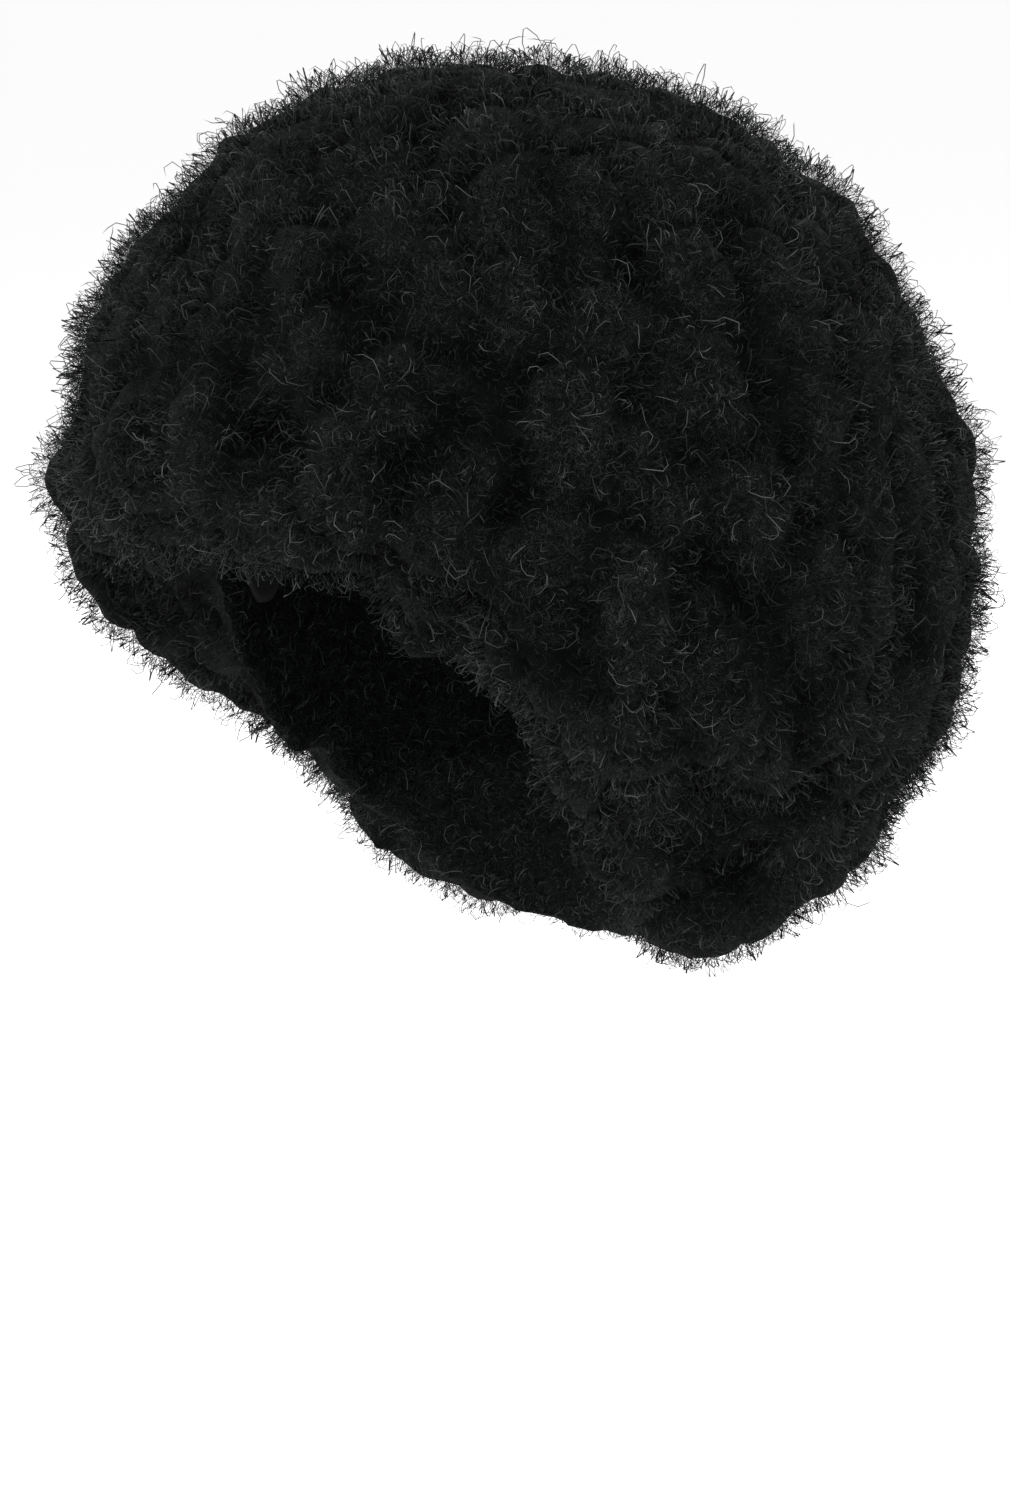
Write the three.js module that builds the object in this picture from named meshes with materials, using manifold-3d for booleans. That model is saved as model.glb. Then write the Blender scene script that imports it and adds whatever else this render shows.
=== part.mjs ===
// Round afro wig: a stretch cap that grips the head, carrying five rows of curly hair.
// Millimetres, +Z up. The wearer faces -Y, and the wearer's left is +X.
// The origin is the middle of the head at its widest level, where the cap sits.
import * as THREE from "three";
import { mergeVertices } from "three/addons/utils/BufferGeometryUtils.js";
import Module from "manifold-3d";

const wasm = await Module();
wasm.setup();

// Driving dimensions
const head = { halfWidth: 78, halfLength: 98, crownHeight: 108, lowerHeight: 150 };
const neck = { halfWidth: 55, halfLength: 60, centreY: 14, top: -30, bottom: -260 };
const capWall = 1.5;
const gap = 0.5;
const ballCentre = new THREE.Vector3(0, 33, 3);
const ball = { side: 174, upFront: 182, downBack: 196, upBack: 171, downFront: 184, lean: 43 };
const backingDepth = 9;
const edgeRounding = 50;
const besideHead = { from: 70, to: 130 };
const edgeTilt = 0.03;

// Locks of hair: a full-size one, how uneven they may be, and their share of room from the skin
const lock = { radius: 36, depth: 20, root: 30, reach: 3 };
const lockRings = 11;
const uneven = { smallest: 0.65, size: 0.12, reach: 2, round: 0.35, fromTop: 0.12 };
const skinMargin = 0.3;
const fringe = { count: 7, halfWidth: 84, startY: -92, startZ: 52, down: 60, size: 0.8 };

// Facet counts
const headFacets = { around: 22, stacks: 14 };
const backingFacets = { around: 22, stacks: 14 };
const lockFacets = { around: 6, rings: 2 };
const rowFacets = 18;
const capEdgePoints = 27;

// The cap's edge, seen from the side
const capEdge = [
  { place: "in front", y: -130, z: 44 },
  { place: "forehead", y: -97, z: 40 },
  { place: "temple", y: -62, z: 24 },
  { place: "ear tab front", y: -42, z: -22 },
  { place: "ear tab back", y: -24, z: -26 },
  { place: "over the ear", y: -2, z: 4 },
  { place: "behind the ear", y: 26, z: -16 },
  { place: "nape side", y: 58, z: -64 },
  { place: "nape", y: 92, z: -78 },
  { place: "behind", y: 130, z: -82 },
];

// The hair's front and lower edge, seen from the side: on the head, and out at the sides of the ball
const hairEdge = [
  { place: "in front", y: -300, z: 56, sideY: -300, sideZ: -30 },
  { place: "fringe tips", y: -150, z: 15, sideY: -150, sideZ: -56 },
  { place: "forehead", y: -104, z: 5, sideY: -112, sideZ: -62 },
  { place: "temple", y: -82, z: -20, sideY: -85, sideZ: -66 },
  { place: "cheek", y: -55, z: -54, sideY: -55, sideZ: -70 },
  { place: "sideburn", y: -30, z: -88, sideY: -18, sideZ: -77 },
  { place: "jaw", y: 6, z: -116, sideY: 18, sideZ: -94 },
  { place: "neck side", y: 32, z: -176, sideY: 50, sideZ: -146 },
  { place: "below", y: 42, z: -300, sideY: 62, sideZ: -300 },
];

// Rows of hair, each holding some of the rings of locks, which are counted from the top of the ball down
const rows = [
  { name: "crown_row", firstRing: 0, lastRing: 2 },
  { name: "upper_row", firstRing: 3, lastRing: 4 },
  { name: "brow_row", firstRing: 5, lastRing: 6, fringe: true },
  { name: "ear_row", firstRing: 7, lastRing: 8 },
  { name: "nape_row", firstRing: 9, lastRing: 11 },
];
const ringStep = Math.PI / lockRings;
const rowRays = { inner: 20, outer: 330 };

const capCloth = new THREE.MeshStandardMaterial({ color: 0x141416, roughness: 0.9, metalness: 0 });
const blackCurls = new THREE.MeshStandardMaterial({ color: 0x17191a, roughness: 0.75, metalness: 0 });

const leftward = new THREE.Vector3(1, 0, 0);
const backward = new THREE.Vector3(0, 1, 0);
const up = new THREE.Vector3(0, 0, 1);
const ballLean = THREE.MathUtils.degToRad(ball.lean);

// A closed three.js geometry as a solid that can be joined and cut
function solidOf(geometry) {
  const bare = geometry.clone();
  bare.deleteAttribute("normal");
  bare.deleteAttribute("uv");
  const merged = mergeVertices(bare, 1e-4);
  return new wasm.Manifold(
    new wasm.Mesh({
      numProp: 3,
      vertProperties: new Float32Array(merged.attributes.position.array),
      triVerts: new Uint32Array(merged.index.array),
    }),
  );
}

// A solid as a named three.js mesh
function meshOf(name, solid, material) {
  const { numProp, numVert, vertProperties, triVerts } = solid.getMesh();
  const points = new Float32Array(numVert * 3);
  for (let i = 0; i < numVert; i++) {
    points.set(vertProperties.subarray(i * numProp, i * numProp + 3), i * 3);
  }
  const geometry = new THREE.BufferGeometry();
  geometry.setAttribute("position", new THREE.BufferAttribute(points, 3));
  geometry.setIndex(new THREE.BufferAttribute(triVerts, 1));
  geometry.computeVertexNormals();
  const mesh = new THREE.Mesh(geometry, material);
  mesh.name = name;
  return mesh;
}

// A unit sphere with its poles on Z, each vertex moved by a function of its direction
function shapedBall(facets, move) {
  const form = new THREE.SphereGeometry(1, facets.around, facets.stacks).rotateX(Math.PI / 2);
  const place = form.getAttribute("position");
  const point = new THREE.Vector3();
  for (let i = 0; i < place.count; i++) {
    move(point.fromBufferAttribute(place, i));
    place.setXYZ(i, point.x, point.y, point.z);
  }
  return solidOf(form);
}

// The head, grown by an offset
function headSolid(offset) {
  return shapedBall(headFacets, (p) => {
    const height = p.z > 0 ? head.crownHeight : head.lowerHeight;
    p.set(p.x * (head.halfWidth + offset), p.y * (head.halfLength + offset), p.z * (height + offset));
  });
}

// The neck under it, which the hair hangs behind
function neckSolid() {
  const form = new THREE.CylinderGeometry(1, 1, neck.top - neck.bottom, headFacets.around);
  form.rotateX(Math.PI / 2).scale(neck.halfWidth, neck.halfLength, 1);
  return solidOf(form.translate(0, neck.centreY, (neck.top + neck.bottom) / 2));
}

// The side-view curve through a table's rows
function edgeCurve(table) {
  return new THREE.SplineCurve(table.map(({ y, z }) => new THREE.Vector2(y, z)));
}

// The space below the cap's edge, right across the head
function belowCap() {
  const outline = edgeCurve(capEdge).getPoints(capEdgePoints);
  const floor = -2 * head.lowerHeight;
  outline.push(new THREE.Vector2(capEdge.at(-1).y, floor), new THREE.Vector2(capEdge[0].y, floor));
  const depth = 4 * head.halfWidth;
  const swept = new THREE.ExtrudeGeometry(new THREE.Shape(outline), { depth, bevelEnabled: false });
  const sideView = new THREE.Matrix4().makeBasis(backward, up, leftward);
  return solidOf(swept.applyMatrix4(sideView).translate(-depth / 2, 0, 0));
}

// The hair's edge as curves, from the one on the head to the one at the sides
const sideSteps = 8;
const edgeSteps = 120;
const edgeCurves = Array.from({ length: sideSteps + 1 }, (_, i) => {
  const mix = (a, b) => THREE.MathUtils.lerp(a, b, i / sideSteps);
  const curve = edgeCurve(hairEdge.map((row) => ({ y: mix(row.y, row.sideY), z: mix(row.z, row.sideZ) })));
  return { curve, points: curve.getSpacedPoints(edgeSteps) };
});

// How far a place lies in front of the hair's edge, negative where hair is
function beforeEdge({ x, y, z }) {
  const beside = THREE.MathUtils.smoothstep(Math.abs(x), besideHead.from, besideHead.to);
  const { curve, points } = edgeCurves[Math.round(beside * sideSteps)];
  const here = new THREE.Vector2(y, z + edgeTilt * x);
  let nearest = 0;
  for (let i = 1; i <= edgeSteps; i++) {
    if (points[i].distanceToSquared(here) < points[nearest].distanceToSquared(here)) nearest = i;
  }
  const away = here.sub(points[nearest]);
  return -away.length() * Math.sign(curve.getTangentAt(nearest / edgeSteps).cross(away));
}

// How far a place lies outside the leaning ball of hair, negative inside
function beyondBall(point) {
  const away = point.clone().sub(ballCentre).applyAxisAngle(leftward, ballLean);
  const long = away.y < 0 ? ball.upFront : ball.downBack;
  const high = away.z < 0 ? ball.downFront : ball.upBack;
  const share = Math.hypot(away.x / ball.side, away.y / long, away.z / high);
  return (away.length() * (share - 1)) / share;
}

// The hair's outer form is the ball behind the edge, rounded over where the two meet
function outside(point) {
  const fromBall = beyondBall(point);
  const fromEdge = beforeEdge(point);
  const blend = Math.max(0, 1 - Math.abs(fromBall - fromEdge) / edgeRounding);
  return Math.max(fromBall, fromEdge) + (blend ** 2 * edgeRounding) / 4;
}

// The place on the outer form, or some depth inside it, that a line from inside it meets
function surfacePoint(start, direction, depth) {
  let near = 0;
  let far = 2 * ball.side;
  const point = new THREE.Vector3();
  for (let i = 0; i < 24; i++) {
    const middle = (near + far) / 2;
    point.copy(start).addScaledVector(direction, middle);
    if (outside(point) + depth < 0) near = middle;
    else far = middle;
  }
  return point;
}

// The direction straight out of the outer form at a place
function outward(point) {
  const step = 2;
  const slope = ["x", "y", "z"].map((axis) => {
    const ahead = point.clone();
    const behind = point.clone();
    ahead[axis] += step;
    behind[axis] -= step;
    return outside(ahead) - outside(behind);
  });
  return new THREE.Vector3(...slope).normalize();
}

// Whether a place is on the skin of the head or neck, or nearer to it than a margin
function onSkin(point, margin) {
  const height = point.z > 0 ? head.crownHeight : head.lowerHeight;
  const inHead = Math.hypot(
    point.x / (head.halfWidth + margin),
    point.y / (head.halfLength + margin),
    point.z / (height + margin),
  );
  const inNeck = Math.hypot(
    point.x / (neck.halfWidth + margin),
    (point.y - neck.centreY) / (neck.halfLength + margin),
  );
  return inHead < 1 || (point.z < neck.top && inNeck < 1);
}

// A lock's size, drawn in until its shoulders lie inside the outer form
function fittingSize(tip, axis, wanted) {
  const aside = new THREE.Vector3(axis.y, axis.z, axis.x).cross(axis).normalize();
  const shoulder = (size, turn) => {
    const level = tip.clone().addScaledVector(axis, -size * lock.depth);
    return level.addScaledVector(aside.clone().applyAxisAngle(axis, turn), size * lock.radius);
  };
  const turns = [0, 1, 2, 3, 4, 5].map((n) => (n * Math.PI) / 3);
  let size = wanted;
  while (size > uneven.smallest && turns.some((turn) => outside(shoulder(size, turn)) > 0)) size *= 0.95;
  return size;
}

// A lock whose tip is where a line from inside the hair comes out of it
function lockAlong(start, direction, wanted, seed) {
  const tip = surfacePoint(start, direction, 0);
  const axis = outward(tip);
  const size = fittingSize(tip, axis, wanted * (1 + uneven.size * vary(seed)));
  tip.addScaledVector(axis, lock.reach + uneven.reach * vary(seed + 0.5));
  return { tip, axis, size, turn: seed };
}

// A number from -1 to 1 that a seed always gives again
function vary(seed) {
  return 2 * THREE.MathUtils.seededRandom(Math.round(2 * seed)) - 1;
}

// One ring of locks round the ball, smaller where the outer form comes closer to the head
function ringOfLocks(ring) {
  const count = Math.max(1, Math.round((2 * Math.PI * Math.sin(ring * ringStep)) / ringStep));
  return Array.from({ length: count }, (_, i) => {
    const seed = 100 * ring + i;
    const fromTop = (ring + uneven.fromTop * vary(seed + 3000)) * ringStep;
    const round = ((i + (ring % 2) / 2 + uneven.round * vary(seed + 6000)) / count) * 2 * Math.PI;
    const direction = new THREE.Vector3(
      Math.sin(fromTop) * Math.cos(round),
      Math.sin(fromTop) * Math.sin(round),
      Math.cos(fromTop),
    );
    const closeness = surfacePoint(ballCentre, direction, 0).distanceTo(ballCentre) / ball.side;
    return lockAlong(ballCentre, direction, closeness, seed);
  });
}

// Locks that hang over the forehead, from temple to temple
function fringeLocks() {
  const down = THREE.MathUtils.degToRad(fringe.down);
  const direction = new THREE.Vector3(0, -Math.cos(down), -Math.sin(down));
  return Array.from({ length: fringe.count }, (_, i) => {
    const x = fringe.halfWidth * ((2 * i) / (fringe.count - 1) - 1);
    return lockAlong(new THREE.Vector3(x, fringe.startY, fringe.startZ), direction, fringe.size, 9000 + i);
  });
}

// One lock: a round head on a short taper that goes down into the backing
function lockSolid({ tip, axis, size, turn }) {
  const radius = size * lock.radius;
  const depth = size * lock.depth;
  const root = -size * lock.root;
  const profile = [new THREE.Vector2(0, root), new THREE.Vector2(radius / 2, root)];
  for (let i = 0; i < lockFacets.rings; i++) {
    const rise = ((Math.PI / 2) * i) / lockFacets.rings;
    profile.push(new THREE.Vector2(radius * Math.cos(rise), depth * (Math.sin(rise) - 1)));
  }
  profile.push(new THREE.Vector2(0, 0));
  const form = new THREE.LatheGeometry(profile, lockFacets.around, turn).rotateX(Math.PI / 2);
  const lean = new THREE.Quaternion().setFromUnitVectors(up, axis);
  return solidOf(form.applyQuaternion(lean).translate(tip.x, tip.y, tip.z));
}

// The space that one row of hair fans out into, a gap below the row above it
function rowSpace({ firstRing, lastRing }) {
  const ray = (ring, radius, lower) => {
    const fromTop = THREE.MathUtils.clamp(ring * ringStep, 0, Math.PI);
    return new THREE.Vector2(Math.abs(radius * Math.sin(fromTop)), radius * Math.cos(fromTop) - lower);
  };
  const profile = [
    ray(lastRing + 0.5, rowRays.inner, 0),
    ray(lastRing + 0.5, rowRays.outer, 0),
    ray(firstRing - 0.5, rowRays.outer, gap),
    ray(firstRing - 0.5, rowRays.inner, gap),
    ray(lastRing + 0.5, rowRays.inner, 0),
  ];
  const form = new THREE.LatheGeometry(profile, rowFacets).rotateX(Math.PI / 2);
  return solidOf(form.translate(ballCentre.x, ballCentre.y, ballCentre.z));
}

const join = (solids) => solids.reduce((all, next) => all.add(next));
const biggest = (solid) => solid.decompose().reduce((a, b) => (b.volume() > a.volume() ? b : a));

function capMesh() {
  const shell = headSolid(capWall).subtract(headSolid(0)).subtract(belowCap());
  return meshOf("cap", biggest(shell), capCloth);
}

// Each row is its part of the backing with its own rings of locks, hollowed for the head
function hairMeshes() {
  const backing = shapedBall(backingFacets, (p) => {
    p.copy(surfacePoint(ballCentre, p.clone(), backingDepth));
  });
  const wearer = headSolid(capWall + gap).add(neckSolid());
  return rows.map((row) => {
    const rings = Array.from({ length: row.lastRing - row.firstRing + 1 }, (_, i) => row.firstRing + i);
    const places = [...rings.flatMap(ringOfLocks), ...(row.fringe ? fringeLocks() : [])];
    const clear = places.filter(({ tip, size }) => !onSkin(tip, skinMargin * size * lock.radius));
    const solid = join([backing, ...clear.map(lockSolid)]).intersect(rowSpace(row)).subtract(wearer);
    return meshOf(row.name, biggest(solid), blackCurls);
  });
}

const wig = new THREE.Group();
wig.add(capMesh(), ...hairMeshes());
export default wig;
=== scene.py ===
import math
import random

import bmesh
import bpy
import numpy as np
from mathutils import Matrix, Quaternion, Vector, kdtree
from mathutils.bvhtree import BVHTree


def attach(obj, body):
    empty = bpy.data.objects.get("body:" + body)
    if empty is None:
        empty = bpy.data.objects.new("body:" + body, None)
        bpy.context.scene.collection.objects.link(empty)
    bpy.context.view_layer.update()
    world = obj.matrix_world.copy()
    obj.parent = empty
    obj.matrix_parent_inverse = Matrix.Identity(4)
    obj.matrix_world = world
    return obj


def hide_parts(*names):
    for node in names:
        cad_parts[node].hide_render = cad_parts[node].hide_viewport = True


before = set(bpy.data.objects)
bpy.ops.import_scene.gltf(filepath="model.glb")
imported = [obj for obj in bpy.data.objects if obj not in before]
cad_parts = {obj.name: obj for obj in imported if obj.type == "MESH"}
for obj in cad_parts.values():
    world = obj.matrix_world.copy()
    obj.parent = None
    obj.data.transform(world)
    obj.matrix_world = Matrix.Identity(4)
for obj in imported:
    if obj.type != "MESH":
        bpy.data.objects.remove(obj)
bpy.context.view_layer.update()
scene = bpy.context.scene


# Small helpers

def addObject(name, mesh):
    thing = bpy.data.objects.new(name, mesh)
    scene.collection.objects.link(thing)
    return thing


def meshFrom(name, points, faces):
    mesh = bpy.data.meshes.new(name)
    mesh.from_pydata([tuple(p) for p in points], [], [tuple(f) for f in faces])
    mesh.update()
    return mesh


def bakedMesh(thing):
    # the evaluated modifiers as a plain mesh, with the modifiers gone
    depsgraph = bpy.context.evaluated_depsgraph_get()
    mesh = bpy.data.meshes.new_from_object(thing.evaluated_get(depsgraph))
    thing.modifiers.clear()
    old = thing.data
    thing.data = mesh
    bpy.data.meshes.remove(old)
    return mesh


def pointsOf(mesh):
    flat = np.empty(3 * len(mesh.vertices), np.float32)
    mesh.vertices.foreach_get("co", flat)
    return flat.reshape(-1, 3).astype(float)


def normalsOf(mesh):
    flat = np.empty(3 * len(mesh.vertices), np.float32)
    mesh.vertex_normals.foreach_get("vector", flat)
    return flat.reshape(-1, 3).astype(float)


def setPoints(mesh, points):
    mesh.vertices.foreach_set("co", points.astype(np.float32).ravel())
    mesh.update()


def setAttribute(mesh, name, kind, domain, values):
    attribute = mesh.attributes.new(name, kind, domain)
    key = "vector" if kind == "FLOAT_VECTOR" else "value"
    attribute.data.foreach_set(key, np.asarray(values, np.float32).ravel())


def triangleCount(mesh):
    return sum(len(p.vertices) - 2 for p in mesh.polygons)


def smoothStep(value, low, high):
    t = np.clip((value - low) / (high - low), 0, 1)
    return t * t * (3 - 2 * t)


class NodeSet:
    # adds nodes to a tree and links them in one line each
    def __init__(self, tree):
        self.tree = tree

    def add(self, kind, inputs=None, **settings):
        node = self.tree.nodes.new(kind)
        for key, value in settings.items():
            setattr(node, key, value)
        for key, value in (inputs or {}).items():
            if isinstance(value, bpy.types.NodeSocket):
                self.tree.links.new(value, node.inputs[key])
            else:
                node.inputs[key].default_value = value
        return node

    def math(self, operation, a, b=0.0):
        return self.add("ShaderNodeMath", {0: a, 1: b}, operation=operation).outputs[0]

    def vector(self, operation, a, b):
        return self.add("ShaderNodeVectorMath", {0: a, 1: b}, operation=operation).outputs[0]

    def noise(self, place, perMetre, detail=2.0):
        return self.add("ShaderNodeTexNoise", {"Vector": place, "Scale": perMetre, "Detail": detail}).outputs

    def mapRange(self, value, start, end, low=0.0, high=1.0):
        return self.add("ShaderNodeMapRange", {"Value": value, "From Min": start, "From Max": end,
                        "To Min": low, "To Max": high}).outputs[0]


# Camera at the photograph's viewing angle

cameraView = {
    "azimuth": 40, "elevation": 10, "distance": 1.4,
    "target": Vector((0, 0.033, 0.005)),
    "targetPixel": (516, 514), "imageSize": (1010, 1500), "focalPixels": 3640,
    "sensorWidth": 36, "farthest": 100,
}


def makeCamera(view):
    azimuth, elevation = math.radians(view["azimuth"]), math.radians(view["elevation"])
    back = Vector((math.sin(azimuth) * math.cos(elevation), -math.cos(azimuth) * math.cos(elevation),
                   math.sin(elevation)))
    width, height = view["imageSize"]
    yaw = math.atan((view["targetPixel"][0] - width / 2) / view["focalPixels"])
    pitch = math.atan((view["targetPixel"][1] - height / 2) / view["focalPixels"])
    right = (-back).cross(Vector((0, 0, 1))).normalized()
    level = -back * math.cos(yaw) - right * math.sin(yaw)
    right = level.cross(Vector((0, 0, 1))).normalized()
    forward = level * math.cos(pitch) + right.cross(level) * math.sin(pitch)
    up = right.cross(forward)
    camera = bpy.data.cameras.new("camera")
    camera.sensor_width = view["sensorWidth"]
    camera.lens = view["focalPixels"] * camera.sensor_width / max(width, height)
    camera.clip_end = view["farthest"]
    thing = bpy.data.objects.new("camera", camera)
    turn = Matrix((right, up, -forward)).transposed()
    thing.matrix_world = Matrix.Translation(view["target"] + back * view["distance"]) @ turn.to_4x4()
    scene.collection.objects.link(thing)
    scene.camera = thing


makeCamera(cameraView)


# Pale floor and soft studio light

studio = {
    "floorHeight": -0.42, "floorHalf": 30.0, "floorColour": (0.92, 0.92, 0.92, 1), "floorRoughness": 0.9,
    "worldColour": (1, 1, 1, 1), "worldStrength": 1.05,
    "lamps": [
        {"name": "key", "at": (1.1, -1.6, 1.5), "size": 1.4, "watts": 30},
        {"name": "fill", "at": (-1.8, -0.9, 0.9), "size": 1.6, "watts": 25},
        {"name": "side", "at": (2.0, 0.7, 0.7), "size": 1.6, "watts": 16},
        {"name": "back", "at": (-0.9, 2.0, 1.0), "size": 1.6, "watts": 16},
    ],
}


def makeStudio(look):
    half, height = look["floorHalf"], look["floorHeight"]
    corners = [(-half, -half, height), (half, -half, height), (half, half, height), (-half, half, height)]
    floor = addObject("floor", meshFrom("floor", corners, [(0, 1, 2, 3)]))
    paper = bpy.data.materials.new("floor paper")
    paper.use_nodes = True
    shader = paper.node_tree.nodes["Principled BSDF"]
    shader.inputs["Base Color"].default_value = look["floorColour"]
    shader.inputs["Roughness"].default_value = look["floorRoughness"]
    floor.data.materials.append(paper)
    world = bpy.data.worlds.new("studio")
    world.use_nodes = True
    sky = world.node_tree.nodes["Background"]
    sky.inputs["Color"].default_value = look["worldColour"]
    sky.inputs["Strength"].default_value = look["worldStrength"]
    scene.world = world
    for lamp in look["lamps"]:
        light = bpy.data.lights.new(lamp["name"], "AREA")
        light.size = lamp["size"]
        light.energy = lamp["watts"]
        thing = bpy.data.objects.new(lamp["name"], light)
        thing.location = lamp["at"]
        thing.rotation_euler = (-Vector(lamp["at"])).to_track_quat("-Z", "Y").to_euler()
        scene.collection.objects.link(thing)
    scene.view_settings.view_transform = "Standard"


makeStudio(studio)
print("camera, floor and lights made")


# Materials of the hair

# deepest keeps some grey under the painted shade of the deepest creases; the strands underneath are darkened
# by painted shade
strandFinish = {
    "dark": (0.0030, 0.0035, 0.0034, 1), "light": (0.095, 0.1087, 0.1043, 1),
    "contrast": 2.6, "deepest": 0.03, "underShade": 0.75, "roughness": 0.5, "specular": 0.10,
}
coreFinish = {
    "dark": (0.0012, 0.0014, 0.0014, 1), "light": (0.042, 0.0485, 0.046, 1),
    "whorls": [
        {"perMetre": 66, "linesPerMetre": 820, "shift": (0.0, 0.0, 0.0)},
        {"perMetre": 98, "linesPerMetre": 980, "shift": (0.31, 0.17, 0.23)},
        {"perMetre": 140, "linesPerMetre": 1150, "shift": (0.73, 0.57, 0.41)},
    ],
    "driftPerMetre": 160.0, "drift": 0.010,  # pushes the whorls out of round
    "breaksPerMetre": 330.0, "breakFrom": 0.40, "breakTo": 0.66,  # breaks their lines into arcs
    # deepest keeps some of the fibres' grey under the painted shade of the deepest creases
    "sharpness": 6.0, "ownGrey": 0.6, "deepest": 0.03,
    "roughness": 0.75, "specular": 0.03, "bump": 0.0006, "bumpStrength": 0.8,
}


def twoColours(nodes, shader, factor, finish):
    colour = nodes.add("ShaderNodeMix", {"Factor": factor}, data_type="RGBA", clamp_factor=True)
    colour.inputs[6].default_value = finish["dark"]  # the node's two colours are inputs 6 and 7
    colour.inputs[7].default_value = finish["light"]
    nodes.tree.links.new(colour.outputs[2], shader.inputs["Base Color"])
    shader.inputs["Roughness"].default_value = finish["roughness"]
    shader.inputs["Specular IOR Level"].default_value = finish["specular"]


def raised(nodes, shader, height, finish):
    bump = nodes.add("ShaderNodeBump", {
        "Height": height, "Strength": finish["bumpStrength"], "Distance": finish["bump"]})
    nodes.tree.links.new(bump.outputs[0], shader.inputs["Normal"])


def stored(nodes, name):
    return nodes.add("ShaderNodeAttribute", attribute_name=name).outputs["Fac"]


def newMaterial(name):
    material = bpy.data.materials.new(name)
    material.use_nodes = True
    return material, NodeSet(material.node_tree), material.node_tree.nodes["Principled BSDF"]


def strandMaterial(finish):
    # each strand has its own grey, with painted shade down in the creases and painted light on tufts and
    # clumps
    material, nodes, shader = newMaterial("curl strands")
    grey = nodes.math("POWER", stored(nodes, "strand"), finish["contrast"])
    # painted shade in the creases and painted light on the tops, from the lift attribute
    shade = nodes.math("MULTIPLY", grey, nodes.math("ADD", stored(nodes, "lift"), finish["deepest"]))
    # painted shade on the thick strands underneath
    underShade = nodes.math("MULTIPLY", stored(nodes, "under"), finish["underShade"])
    shade = nodes.math("MULTIPLY", shade, nodes.math("SUBTRACT", 1.0, underShade))
    twoColours(nodes, shader, shade, finish)
    return material


def coreMaterial(finish):
    # fine fibres that run round the middles of small whorls, broken into short arcs
    material, nodes, shader = newMaterial("matted curls")
    place = nodes.add("ShaderNodeTexCoord").outputs["Object"]
    drift = nodes.noise(place, finish["driftPerMetre"])["Color"]
    centred = nodes.vector("SUBTRACT", drift, (0.5, 0.5, 0.5))
    pushed = nodes.add("ShaderNodeVectorMath", {0: centred, "Scale": finish["drift"]}, operation="SCALE")
    moved = nodes.vector("ADD", place, pushed.outputs[0])
    fibre = 0.0
    for whorls in finish["whorls"]:
        shifted = nodes.vector("ADD", moved, whorls["shift"])
        cells = nodes.add("ShaderNodeTexVoronoi", {"Vector": shifted, "Scale": whorls["perMetre"]})
        rings = nodes.math("MULTIPLY", cells.outputs["Distance"],
                           whorls["linesPerMetre"] / whorls["perMetre"] * math.tau)
        ripple = nodes.math("MULTIPLY", nodes.math("ADD", nodes.math("SINE", rings), 1.0), 0.5)
        patches = nodes.noise(shifted, finish["breaksPerMetre"])["Fac"]
        broken = nodes.mapRange(patches, finish["breakFrom"], finish["breakTo"])
        arcs = nodes.math("MULTIPLY", nodes.math("POWER", ripple, finish["sharpness"]), broken)
        grey = nodes.add("ShaderNodeSeparateColor", {0: cells.outputs["Color"]}).outputs[0]
        grey = nodes.math("ADD", nodes.math("MULTIPLY", grey, finish["ownGrey"]), 1 - finish["ownGrey"])
        fibre = nodes.math("MAXIMUM", nodes.math("MULTIPLY", arcs, grey), fibre)
    # painted light on tufts and clumps and painted shade in the creases, from the lift attribute
    shade = nodes.math("MULTIPLY", fibre, nodes.math("ADD", stored(nodes, "lift"), finish["deepest"]))
    twoColours(nodes, shader, shade, finish)
    raised(nodes, shader, fibre, finish)
    return material


strandLook = strandMaterial(strandFinish)
coreLook = coreMaterial(coreFinish)


# Body of hair: the rows' own solids, evened out and raised in clumps and small tufts

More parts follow.
